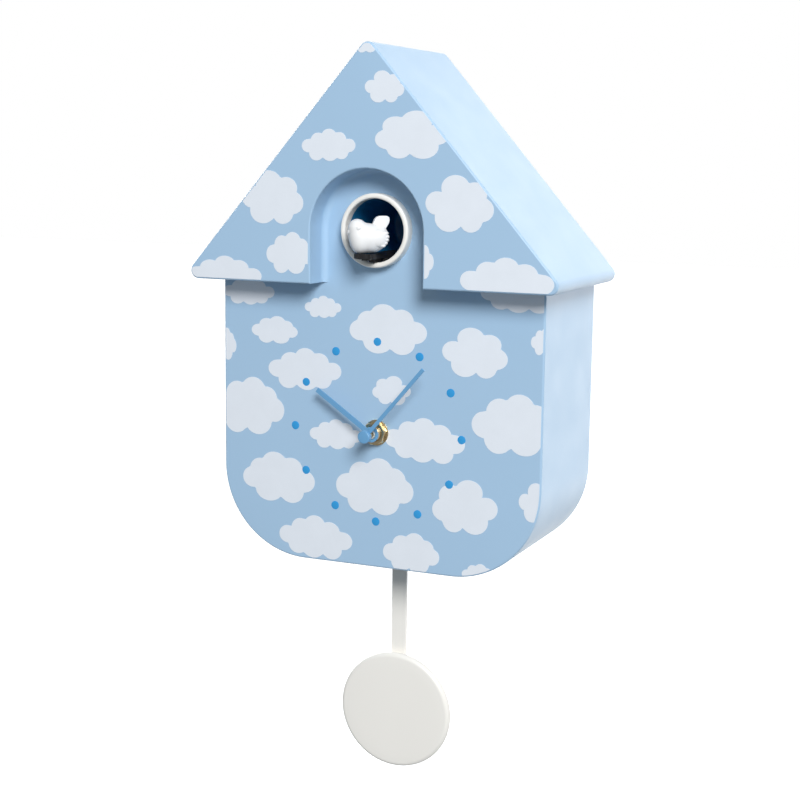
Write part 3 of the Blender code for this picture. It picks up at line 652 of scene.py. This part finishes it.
def make_print():
    niche = prism("arch", arch_outline(NICHE_R + NICHE_EDGE + 0.1), ROOF_FRONT - 4, BODY_FRONT)
    print_layer("roof_cloud_print", roof_outline, ROOF_FRONT, ROOF_CLOUDS, niche)
    depth = (BODY_FRONT - 9, BODY_FRONT + 9)
    under_roof = block("under_roof", (-120, 120), depth, (EAVE, EAVE + 40))
    print_layer("body_cloud_print", body_outline, BODY_FRONT, BODY_CLOUDS, under_roof)
    section = [(0, -0.1), (DOT_R - 0.15, -0.1), (DOT_R, -0.06), (DOT_R, 0.2), (0, 0.2)]
    profile = [(r, BODY_FRONT + y) for r, y in section]
    dots = []
    for hour in range(12):
        angle = math.radians(30 * hour)
        x, z = DOT_CIRCLE * math.sin(angle), DIAL_Z + DOT_CIRCLE * math.cos(angle)
        dots.append(turned("dot", profile, x, z, DOT, 40))
    join(dots[0], *dots[1:])
    dots[0].name = "hour_dots"
    soften(dots[0])
    ride(dots[0], "root", "hand_blue")


# ---------------------------------------------------------------- window and bird

arm_low, arm_high = mm_box("bird_carriage")
BASE_R = (arm_high.x - arm_low.x) / 2  # the round end of the bird's arm
BASE = Vector(((arm_high.x + arm_low.x) / 2, arm_low.y + BASE_R, arm_high.z))
RING_EDGE = 1.1
PINION_SLOT = 2.1  # half the width of the opening in the liner's floor
RAIL_SPAN = (2.3, 5.0)  # either rail's sides, from the middle
BLEND = 1.3  # per mm: how closely the bird's skin follows its largest volume
SKIN = 0.35  # taken off the blended skin
BIRD_TURN = -140  # degrees from +X, the beak's way, to the bird's heading
BIRD_ON_ARM = Vector((1.6, 1.3, 10.5))  # the bird's middle, from the round end of its arm
VOXEL = 0.18


def make_window():
    middle = ring_low.y + RING_EDGE
    crown = arc(TUNNEL_BORE + RING_EDGE, middle, RING_EDGE, 180, 270, 6)
    crown += arc(RING_R - RING_EDGE, middle, RING_EDGE, 270, 360, 6)
    profile = crown + [(RING_R, BODY_FRONT - 0.05), (TUNNEL_BORE, BODY_FRONT - 0.05)]
    ring = turned("window_ring_moulding", profile, 0, WINDOW_Z, CREAM, 128)
    ride(ring, "root", "cream_plastic", "window_ring")

    mouth, end = BODY_FRONT, tunnel_high.y
    profile = [(TUNNEL_BORE, mouth), (TUNNEL_R, mouth), (TUNNEL_R, end), (0, end), (0, end - 1.5)]
    profile += arc(TUNNEL_BORE - 2, end - 3.5, 2, 90, 0, 4)
    liner = turned("window_liner", profile, 0, WINDOW_Z, NAVY, 96)
    pinion_low, pinion_high = mm_box("bird_drive_pinion")
    slot_y = grown((pinion_low.y, pinion_high.y), 0.7)
    slot_z = (WINDOW_Z - 22, arm_low.z + 2)
    cut(liner, block("slot", (-PINION_SLOT, PINION_SLOT), slot_y, slot_z))
    soften(liner, 30)
    ride(liner, "root", "navy_plastic", "window_tunnel")
    near, far = RAIL_SPAN
    rail_z = (WINDOW_Z - TUNNEL_BORE - 0.4, arm_low.z + 1.95)
    for name, x in (("left_rail", (-far, -near)), ("right_rail", (near, far))):
        rail = block(name, x, (mouth + 0.5, end - 1), rail_z, BLACK)
        ride(bevelled(rail, 0.15), "root", "black_plastic")


def ball(bm, centre, radii, pitch=0, rings=20, sides=28):
    """An ellipsoid, tipped by a pitch in degrees."""
    tip = Matrix.Rotation(math.radians(pitch), 3, "Y")
    made = bmesh.ops.create_uvsphere(bm, u_segments=sides, v_segments=rings, radius=1)
    for v in made["verts"]:
        v.co = (Vector(centre) + tip @ Vector([a * b for a, b in zip(v.co, radii)])) * MM


def bird_skin(bm):
    """A ball drawn out to a smooth blend of the bird's round volumes: (centre, radii)."""
    volumes = (
        ((-0.2, 0, -2.6), (9.6, 7.6, 7.8)),
        ((5.0, 0, -4.4), (5.4, 6.2, 6.2)),
        ((6.6, 0, 3.0), (4.9, 5.2, 4.9)),
        ((2.0, 0, 0.0), (6.5, 6.4, 5.4)),
        ((-5.2, 0, 0.2), (4.6, 4.6, 4.2)),
        ((6.4, 0, -0.8), (4.8, 5.6, 5.4)),
    )
    heart = Vector((3.2, 0, -0.8))
    made = bmesh.ops.create_uvsphere(bm, u_segments=96, v_segments=64, radius=1)
    for v in made["verts"]:
        way = v.co.normalized()
        reaches = []
        for centre, radii in volumes:
            scale = Vector([1 / r for r in radii])
            start, step = (heart - Vector(centre)) * scale, way * scale
            a, b, c = step.dot(step), start.dot(step), start.dot(start) - 1
            reaches.append((-b + math.sqrt(max(b * b - a * c, 0))) / a if b * b > a * c else 0)
        reach = math.log(sum(math.exp(r * BLEND) for r in reaches)) / BLEND - SKIN
        v.co = (heart + way * reach) * MM


def bird_tail(bm):
    """The upright tail: a fan-shaped plate."""
    tail = [(-1.7, 5.0), (-2.5, 7.2), (-3.8, 8.7), (-5.2, 9.15), (-9.0, 9.2), (-10.3, 8.5)]
    tail += [(-10.6, 7.2), (-10.3, 5.6), (-9.4, 4.0), (-8.1, 2.0), (-5, 0.5), (-2.5, 1.0)]
    sides = [[bm.verts.new(Vector((u, side * 1.4, v)) * MM) for u, v in tail] for side in (-1, 1)]
    for i in range(len(tail)):
        j = (i + 1) % len(tail)
        bm.faces.new((sides[0][i], sides[0][j], sides[1][j], sides[1][i]))
    for side in sides:
        bm.faces.new(side)


def bird_solid():
    """The bird along +X (beak), +Z up, about its own middle."""
    bm = bmesh.new()
    bird_skin(bm)
    ball(bm, (10.2, 0, 1.4), (1.8, 1.5, 1.3), 35)
    ball(bm, (10.7, 0, 0.5), (0.9, 0.8, 1.2), 20)
    bird_tail(bm)
    for side in (-1, 1):
        ball(bm, (-3.4, side * 5.3, -2.2), (5.0, 2.3, 4.5), 6)
        for u, v in ((-8.3, 0.4), (-8.8, -1.4), (-8.6, -3.1), (-7.9, -4.7), (-6.8, -6.0)):
            ball(bm, (u + 1.2, side * 4.6, v), (2.0, 2.2, 1.15), 0, 12, 16)
        ball(bm, (6.9, side * 5.05, 3.0), (1.3, 0.7, 0.9), 0, 12, 16)
    return bm


def make_bird():
    obj = to_object("bird_figure", bird_solid(), WHITE)
    remesh = obj.modifiers.new("Remesh", "REMESH")
    remesh.mode = "VOXEL"
    remesh.voxel_size = VOXEL * MM
    remesh.use_smooth_shade = True
    smooth = obj.modifiers.new("Smooth", "SMOOTH")
    smooth.factor = 0.6
    smooth.iterations = 6
    applied(obj)
    turn = Matrix.Rotation(math.radians(BIRD_TURN), 4, "Z")
    obj.data.transform(Matrix.Translation((BASE + BIRD_ON_ARM) * MM) @ turn)
    cut(obj, block("floor", (-40, 40), (-160, 0), (arm_high.z - 30, arm_high.z + 0.05)))
    obj.data.shade_smooth()
    ride(obj, "bird", "white_plastic", "bird")


def make_bird_base():
    """The ribbed round foot under the bird, on the end of its arm."""
    bottom, top = arm_low.z + 2.1, arm_high.z + 0.03
    rings = []
    for z, inset in ((bottom, 0.35), (bottom + 0.3, 0), (arm_high.z - 0.3, 0), (top, 0.3)):
        shrink = 1 - inset / BASE_R
        outline = knurled(BASE.x, BASE.y, (BASE_R + 0.15) * shrink, (BASE_R + 0.4) * shrink)
        rings.append([(u, v, z) for u, v in outline])
    ride(loft("bird_base", rings, BLACK, 30), "bird", "black_plastic")


# ---------------------------------------------------------------- hands and spindle

WASHER_R, WASHER_EDGE = 7.0, 0.15
NUT_R, NUT_BORE = 6.6, 4.1  # to the hexagon's corners, and its thread's
NUT_TURN = 12  # degrees
BUSH_R, BUSH_BORE = 3.95, 2.65
THREAD_PITCH, THREAD_DEPTH = 0.75, 0.35
HAND_EDGE = 0.14
# Each hand: the way it points from 12 in degrees, length, half width, hub radius, bore
HANDS = (
    ("hour_hand", 304.2, 39.0, 1.35, 4.2, 2.6),
    ("minute_hand", 40.6, 50.0, 1.0, 3.3, 1.8),
)
CAP_R, CAP_EDGE = 3.4, 0.5


def ring_profile(inner, outer, low, high, edge):
    """A washer's section with rounded outer and inner edges."""
    points = []
    for r, y, start in (
        (outer - edge, low + edge, -90),
        (outer - edge, high - edge, 0),
        (inner + edge, high - edge, 90),
        (inner + edge, low + edge, 180),
    ):
        points += arc(r, y, edge, start, start + 90, 3)
    return points


def threaded(name, radius, bore, low, high, pitch, depth, surface):
    """A threaded tube: its outer radius follows a helix, and its front end is chamfered."""
    sides = 64
    bm = bmesh.new()
    steps = int((high - low) / pitch * 8)
    rings = []
    for i in range(sides):
        angle = 2 * math.pi * i / sides
        ring = []
        for j in range(steps + 1):
            y = low + (high - low) * j / steps
            wave = abs(((y / pitch - i / sides) % 1.0) * 2 - 1)
            fade = min(1.0, (y - low) / pitch)
            r = radius - depth * (1 - wave) * fade - 0.25 * (1 - fade)
            ring.append((r, y))
        ring += [(bore, high), (bore, low)]
        place = [(r * math.cos(angle), y, DIAL_Z + r * math.sin(angle)) for r, y in ring]
        rings.append([bm.verts.new(Vector(p) * MM) for p in place])
    close_round(bm, rings)
    return to_object(name, bm, surface, 50)


def make_spindle():
    section = ring_profile(SPINDLE_HOLE, WASHER_R, washer_low.y, washer_high.y + 0.25, WASHER_EDGE)
    ride(turned("washer_ring", section, 0, DIAL_Z, BRASS), "root", "brass", "brass_washer")

    front, back = nut_low.y, nut_high.y
    hexagon = circle(0, DIAL_Z, NUT_R, 6, math.radians(NUT_TURN))
    nut = prism("nut_body", hexagon, front, back + 0.25, BRASS)
    dome = [(0, front), (5.9, front), (6.7, front + 0.75), (6.7, back + 0.3), (0, back + 0.3)]
    combine(nut, [turned("chamfer", dome, 0, DIAL_Z, None, 72)], "INTERSECT")
    bore = [(0, -200), (NUT_BORE, -200), (NUT_BORE, 0), (0, 0)]
    lead = [(0, front - 1), (5.2, front - 1), (4.0, front + 0.5), (0, front + 0.5)]
    cut(nut, turned("bore", bore, 0, DIAL_Z, None, 48), turned("lead", lead, 0, DIAL_Z, None, 48))
    bevelled(nut, 0.12, 2, 25)
    soften(nut, 22)
    ride(nut, "root", "brass", "hex_nut")

    low, high = mm_box("threaded_bush")
    thread = (THREAD_PITCH, THREAD_DEPTH)
    bush = threaded("bush_thread", BUSH_R, BUSH_BORE, low.y, high.y, *thread, BRASS)
    ride(bush, "root", "brass", "threaded_bush")


def hand(name, angle, length, half, hub, bore, low, high):
    """A flat bar with square ends, softened edges and a round hub."""
    across = Vector((math.cos(angle), -math.sin(angle)))
    up = Vector((math.sin(angle), math.cos(angle)))
    centre = Vector((0, DIAL_Z))
    bar = rectangle((-half, half), (0, length))
    outline = [tuple(centre + across * u + up * v) for u, v in bar]
    made = prism(name, outline, low, high, HAND_BLUE)
    join(made, rod("hub", 0, DIAL_Z, hub, low, high, sides=64))
    cut(made, rod("bore", 0, DIAL_Z, bore, low - 1, high + 1))
    bevelled(made, HAND_EDGE, 3, 35)
    return weighted(made)


def make_hands():
    for node, angle, *measures in HANDS:
        low, high = mm_box(node)
        made = hand(f"{node}_bar", math.radians(angle), *measures, low.y, high.y)
        ride(made, node.split("_")[0], "hand_blue", node)
    low, high = mm_box("hand_cap")
    edge = arc(CAP_R - CAP_EDGE, low.y + CAP_EDGE, CAP_EDGE, -90, 0, 5)
    profile = [(0, low.y), *edge, (CAP_R, high.y), (0, high.y)]
    cap = turned("cap_disc", profile, 0, DIAL_Z, HAND_BLUE, 72)
    ride(cap, "minute", "hand_blue", "hand_cap")


# ---------------------------------------------------------------- pendulum


def make_pendulum():
    low, high = bob_low.y, bob_high.y
    half = (high - low) / 2
    rim = arc(BOB_R - half, (low + high) / 2, half, -90, 90, 18)
    profile = [(0, low), (BOB_R - half - 6, low), *rim, (0, high)]
    disc = turned("bob_disc", profile, 0, BOB_Z, CREAM, 160)
    ride(disc, "pendulum", "cream_plastic", "pendulum_bob")

    low, high = mm_box("pendulum_rod")
    outline = [(low.x, low.z, 0), (high.x, low.z, 0), (high.x, high.z, 3), (low.x, high.z, 3)]
    bar = prism("rod_strip", rounded(outline), low.y, high.y, CREAM)
    cut(bar, rod("eye", 0, high.z - 6, 1.9, low.y - 3, high.y + 3))
    bevelled(bar, 0.45, 3)
    ride(weighted(bar), "pendulum", "cream_plastic", "pendulum_rod")


# ---------------------------------------------------------------- back

SCREW_NODES = [f"cover_screw_{number}" for number in range(1, 6)]
COVER_EDGE = 0.5  # the rounding of the cover's rim
KEYHOLE_Z, KEYHOLE_R, KEY_HALF = -9, 4.5, 2.2
SOUND_R, SOUND_PITCH, SOUND_HALF = 17, 6, 1.2
GROOVE_OUT, GROOVE_IN, GROOVE_DEPTH = 3, 2.2, 0.35  # the frame round the battery lid
GRIP_HALF, GRIP_PITCH = 9, 2.2
SCREW_R, SHANK_R = 2.8, 1.3
KNOB_R, KNOB_RIB, KNOB_GRIP = 7.0, 0.35, 6.5
knob_low, knob_high = mm_box("setting_knob")
KNOB_Z = (knob_low.z + knob_high.z) / 2
lid_low, lid_high = mm_box("battery_lid")
cover_low = mm_box("rear_cover")[0]
THROUGH = (cover_low.y - 1, 1)  # the ends of a cutter that goes right through the cover


def cover_plate(name, outline, surface=None):
    """One part of the rear cover: a plate that fits in the housing, with a rounded rim."""
    inset = WALL + GAP
    middle = COVER_EDGE * 0.3
    ends = ((0, cover_low.y), (0, -COVER_EDGE), (middle, -middle), (COVER_EDGE, 0))
    return loft(name, [along_y(outline(inset + more), y) for more, y in ends], surface)


def cut_holes(cover):
    """Openings for screws, keyhole, knob, battery lid and mode switch."""
    for node in SCREW_NODES:
        x, z = middle_of(*mm_box(node))
        cut(cover, rod("hole", x, z, 1.6, *THROUGH, sides=24))
        cone = [(0, -1.6), (3.2, -1.6), (3.2, -0.5), (3.7, 0), (3.7, 1), (0, 1)]
        cut(cover, turned("recess", cone, x, z, sides=40))
    left, right, bottom = -KEY_HALF, KEY_HALF, KEYHOLE_Z
    key = rounded([(left, bottom, 0), (right, bottom, 0), (right, 0, 2.1), (left, 0, 2.1)])
    knob_hole = [(0, THROUGH[0]), (9, THROUGH[0]), (9, -0.8), (9.8, 0), (9.8, 1), (0, 1)]
    lid_x, lid_z = grown((lid_low.x, lid_high.x), GAP), grown((lid_low.z, lid_high.z), GAP)
    slider_low, slider_high = mm_box("mode_slider")
    switch_x = (slider_low.x - 0.5, slider_low.x + 8.5)
    switch_z = grown((slider_low.z, slider_high.z), 0.8)
    cut(
        cover,
        rod("keyhole", 0, KEYHOLE_Z, KEYHOLE_R, *THROUGH),
        prism("keyslot", key, *THROUGH),
        turned("knob_hole", knob_hole, 0, KNOB_Z, sides=64),
        prism("battery_hole", box_outline(lid_x, lid_z, 0.6), *THROUGH),
        prism("switch_slot", box_outline(switch_x, switch_z, 0.6), *THROUGH),
    )


def cut_sound_slots(cover):
    x, z = middle_of(*mm_box("speaker_frame"))
    for row in range(5):
        level = z + (row - 2) * SOUND_PITCH
        half = math.sqrt(SOUND_R**2 - (level - z) ** 2)
        slot = box_outline((x - half, x + half), (level - SOUND_HALF, level + SOUND_HALF), 1.15)
        cut(cover, prism("sound_slot", slot, *THROUGH))


def lid_frame(name, margin, front, back):
    """A rounded block that stands out from the battery lid's hole by a margin."""
    x = grown((lid_low.x, lid_high.x), GAP + margin)
    z = grown((lid_low.z, lid_high.z), GAP + margin)
    return prism(name, box_outline(x, z, margin), front, back)


def make_cover():
    cover = cover_plate("back_plate", roof_outline, PALE)
    join(cover, cover_plate("lower", body_outline))
    cut_holes(cover)
    cut_sound_slots(cover)
    groove = lid_frame("groove", GROOVE_OUT, -GROOVE_DEPTH, 1)
    cut(groove, lid_frame("island", GROOVE_IN, -2, 2))
    cut(cover, groove)
    ride(weighted(cover, 28), "root", "pale_plastic", "rear_cover")


def make_lid():
    outline = box_outline((lid_low.x, lid_high.x), (lid_low.z, lid_high.z), 0.5)
    lid = prism("lid_plate", outline, lid_low.y, lid_high.y, PALE)
    middle = (lid_low.x + lid_high.x) / 2
    cut(lid, rod("notch", middle, lid_high.z, 5, -1.2, 1, sides=40))
    for number in range(5):
        level = lid_high.z - 9 - number * GRIP_PITCH
        x, z = (middle - GRIP_HALF, middle + GRIP_HALF), (level - 0.5, level + 0.5)
        cut(lid, prism("grip", box_outline(x, z, 0.45), -0.75, 1))
    bevelled(lid, 0.2, 2)
    ride(weighted(lid), "battery_lid", "pale_plastic", "battery_lid")


def make_screws():
    """Domed cross-head screws."""
    for number, node in enumerate(SCREW_NODES, 1):
        low, high = mm_box(node)
        x, z = middle_of(low, high)
        face = high.y
        dome = [(0, face), (1.6, face - 0.05), (2.4, face - 0.35), (SCREW_R, face - 0.8)]
        shank = [(SCREW_R, face - 1.1), (SHANK_R, face - 1.1), (SHANK_R, low.y), (0, low.y)]
        screw = turned(f"screw_{number}", dome + shank, x, z, STEEL, 40)
        for u, v in ((0.32, 1.7), (1.7, 0.32)):
            cut(screw, block("cross", (x - u, x + u), (face - 0.8, 1), (z - v, z + v)))
        soften(screw)
        ride(screw, "root", "steel", node)


def make_knob():
    """The hand-setting knob: ribbed round its rim, with a slot across its face."""
    outline = knurled(0, KNOB_Z, KNOB_R - KNOB_RIB, KNOB_R)
    knob = prism("knob_grip", outline, knob_high.y - KNOB_GRIP, knob_high.y, BLACK)
    join(knob, rod("shaft", 0, KNOB_Z, 1.5, knob_low.y, knob_high.y - 6))
    cut(knob, block("grip", (-5.6, 5.6), (knob_high.y - 1.4, 1), (KNOB_Z - 0.9, KNOB_Z + 0.9)))
    soften(knob, 25)
    ride(knob, "motion", "black_plastic", "setting_knob")


# ---------------------------------------------------------------- carried-over pieces

CELL_GREY, CELL_BLUE, CELL_BAND = (0.36, 0.39, 0.42), (0.07, 0.20, 0.42), (0.8, 0.8, 0.8)
CARRIED = {
    "white_plastic": WHITE,
    "black_plastic": BLACK,
    "brass": BRASS,
    "steel": STEEL,
    "copper": COPPER,
    "gear_acetal": ACETAL,
    "circuit_board": BOARD,
    "rubber": RUBBER,
    "speaker_paper": PAPER,
}


def dress_nodes():
    """Gives every CAD node that stays its own material and smooth round faces."""
    slots = {part["node"]: part["material_slot"] for part in frame["record"]["subparts"]}
    cell_low, cell_high = mm_box("battery_1")
    ends = (cell_low.z, cell_high.z)
    jacket = banded("cell_sleeve", CELL_GREY, CELL_BLUE, CELL_BAND, *ends)
    for name, obj in frame["nodes"].items():
        surface = jacket if slots[name] == "battery_jacket" else CARRIED.get(slots[name], PALE)
        obj.data.materials.clear()
        obj.data.materials.append(surface)
        soften(obj, 30)


# ---------------------------------------------------------------- studio

# In metres and watts: name, direction from the clock, distance, diameter, power
LIGHTS = (
    ("key", (0.52, -0.74, 0.53), 3.0, 1.2, 88.0),
    ("rear", (0.31, 0.92, 0.10), 1.5, 1.6, 5.5),
    ("back", (-0.75, 0.60, 0.25), 2.0, 1.6, 27.0),
)
LIT_POINT = Vector((0, -0.05, -0.12))
FLOOR_Z = -0.9


def add_lights():
    for name, direction, distance, size, power in LIGHTS:
        light = bpy.data.lights.new(name, "AREA")
        light.shape = "DISK"
        light.size = size
        light.energy = power
        obj = bpy.data.objects.new(name, light)
        bpy.context.scene.collection.objects.link(obj)
        obj.location = LIT_POINT + Vector(direction).normalized() * distance
        obj.rotation_euler = (LIT_POINT - obj.location).to_track_quat("-Z", "Y").to_euler()


def make_world():
    """Soft sky light; reflections see brighter surroundings behind the clock than before it."""
    world = bpy.data.worlds.new("studio")
    bpy.context.scene.world = world
    world.use_nodes = True
    tree = world.node_tree
    shade = tree.nodes["Background"]
    shade.inputs["Color"].default_value = (0.86, 0.94, 1.0, 1)
    shade.inputs["Strength"].default_value = 0.28
    seen = tree.nodes.new("ShaderNodeBackground")
    seen.inputs["Color"].default_value = (1, 1, 1, 1)
    place = tree.nodes.new("ShaderNodeTexCoord")
    split = tree.nodes.new("ShaderNodeSeparateXYZ")
    tree.links.new(place.outputs["Generated"], split.inputs["Vector"])
    reflected = tree.nodes.new("ShaderNodeBackground")
    brightness = spread(tree, split.outputs["Y"], 0.3, 2.3, -0.35, 0.6)
    tree.links.new(brightness, reflected.inputs["Strength"])
    path = tree.nodes.new("ShaderNodeLightPath")
    before = shade.outputs["Background"]
    for ray, background in (("Is Glossy Ray", reflected), ("Is Camera Ray", seen)):
        mix = tree.nodes.new("ShaderNodeMixShader")
        tree.links.new(path.outputs[ray], mix.inputs["Fac"])
        tree.links.new(before, mix.inputs[1])
        tree.links.new(background.outputs["Background"], mix.inputs[2])
        before = mix.outputs["Shader"]
    tree.links.new(before, tree.nodes["World Output"].inputs["Surface"])


def make_floor():
    bm = bmesh.new()
    bmesh.ops.create_grid(bm, x_segments=1, y_segments=1, size=12)
    made, tree, shader = node_tree("studio_floor")
    shader.inputs["Base Color"].default_value = (0.9, 0.9, 0.9, 1)
    shader.inputs["Roughness"].default_value = 0.9
    shader.inputs["Emission Color"].default_value = (1, 1, 1, 1)
    shader.inputs["Emission Strength"].default_value = 1.0
    floor = to_object("floor", bm, made)
    floor.location.z = FLOOR_Z
    floor.visible_diffuse = False
    floor.visible_glossy = False


AZIMUTH, ELEVATION, ROLL = 23.77, 9.02, 0.69  # degrees
FOCAL = 1.9488  # in sensor widths
AIM, DISTANCE = Vector((-0.0057, -0.040, -0.1354)), 0.8768  # metres


def make_camera():
    """A plain unshifted lens in the photograph's viewing direction."""
    azimuth, elevation, roll = (math.radians(a) for a in (AZIMUTH, ELEVATION, ROLL))
    flat = math.cos(elevation)
    back = Vector((math.sin(azimuth) * flat, -math.cos(azimuth) * flat, math.sin(elevation)))
    right = Vector((math.cos(azimuth), math.sin(azimuth), 0))
    up = back.cross(right)
    across = right * math.cos(roll) + up * math.sin(roll)
    upward = up * math.cos(roll) - right * math.sin(roll)
    data = bpy.data.cameras.new("camera")
    data.sensor_width = 36
    data.lens = data.sensor_width * FOCAL
    camera = bpy.data.objects.new("camera", data)
    bpy.context.scene.collection.objects.link(camera)
    matrix = Matrix((across, upward, back)).transposed().to_4x4()
    matrix.translation = AIM + back * DISTANCE
    camera.matrix_world = matrix
    bpy.context.scene.camera = camera


bpy.context.scene.view_settings.view_transform = "Standard"
dress_nodes()
make_housing()
make_print()
make_window()
make_bird()
make_bird_base()
make_spindle()
make_hands()
make_pendulum()
make_cover()
make_lid()
make_screws()
make_knob()
make_world()
add_lights()
make_floor()
make_camera()
